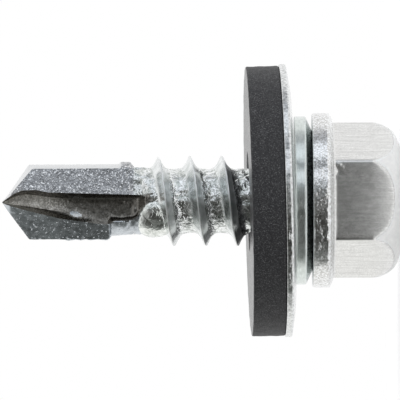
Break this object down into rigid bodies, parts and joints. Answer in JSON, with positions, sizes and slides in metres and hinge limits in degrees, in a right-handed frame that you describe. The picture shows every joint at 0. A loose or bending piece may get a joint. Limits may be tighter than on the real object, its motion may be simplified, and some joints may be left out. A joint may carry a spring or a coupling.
{
  "type": "hex head self-drilling screw",
  "caption": "Self-drilling screw with a hexagon flange head, a fluted drill point, a plain washer and a rubber-faced sealing washer.",
  "frame": {"origin": "centre of the head's flat top face, on which the screw stands", "axes": "+Z along the screw from the head to the drill point; two flats of the hexagon face +Y and -Y"},
  "size_m": [0.0161, 0.0161, 0.0236],
  "materials": {
    "screw_zinc": "bright zinc plated, rough rolled thread and forged point",
    "washer_zinc": "satin zinc plated",
    "plate_zinc": "bright zinc plated sheet",
    "rubber": "matte black sealing rubber"
  },
  "bodies": {
    "screw_body": {"screw": "screw_zinc"},
    "flat_washer_body": {"flat_washer": "washer_zinc"},
    "sealing_washer_body": {"seal_plate": "plate_zinc", "seal_rubber": "rubber"}
  },
  "joints": [
    {"name": "flat_washer_spin", "type": "hinge", "parent": "screw_body", "child": "flat_washer_body", "pos_m": [0, 0, 0.0054], "axis": [0, 0, 1], "continuous": true},
    {"name": "sealing_washer_spin", "type": "hinge", "parent": "screw_body", "child": "sealing_washer_body", "pos_m": [0, 0, 0.0066], "axis": [-0.0187, -0.0218, 0.9996], "continuous": true}
  ]
}
